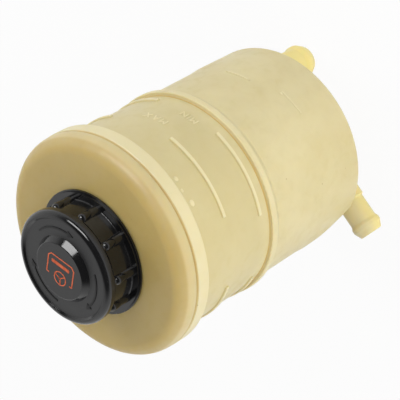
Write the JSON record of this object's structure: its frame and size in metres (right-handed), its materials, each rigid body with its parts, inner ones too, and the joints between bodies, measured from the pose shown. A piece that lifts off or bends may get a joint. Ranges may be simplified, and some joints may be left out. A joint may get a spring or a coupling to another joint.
{
  "type": "power steering reservoir",
  "caption": "Round translucent fluid reservoir with a welded domed cover, shoulder ring for a band clamp, level ribs, hose spigots at the base and a ribbed screw cap.",
  "frame": {"origin": "on the tank's axis at the underside of the shoulder ring, where the fixing band holds the tank", "axes": "+Z along the tank's axis towards the cap, +X along the return spigot"},
  "size_m": [0.1084, 0.1008, 0.1671],
  "materials": {
    "natural_plastic": "satin moulded natural polyamide",
    "black_plastic": "glossy moulded",
    "liner_plastic": "satin moulded",
    "seal_rubber": "matt",
    "strainer_plastic": "satin moulded",
    "mesh_cloth": "fine woven nylon"
  },
  "bodies": {
    "tank": {"tank_body": "natural_plastic", "top_cover": "natural_plastic", "strainer_cage": "strainer_plastic", "strainer_mesh": "mesh_cloth"},
    "seal": {"cap_seal": "seal_rubber"},
    "cap": {"screw_cap": "black_plastic", "cap_liner": "liner_plastic", "vent_valve": "seal_rubber"}
  },
  "joints": [
    {"name": "cap_lift", "type": "slide", "parent": "tank", "child": "seal", "axis": [0, 0, 1], "range_m": [0, 0.006]},
    {"name": "cap_turn", "type": "hinge", "parent": "seal", "child": "cap", "pos_m": [0, 0, 0.075], "axis": [0, 0, 1], "range_deg": [0, 540]}
  ],
  "couplings": [
    {"joint": "cap_turn", "follows": "cap_lift", "rad_per_m": 1570.8}
  ]
}
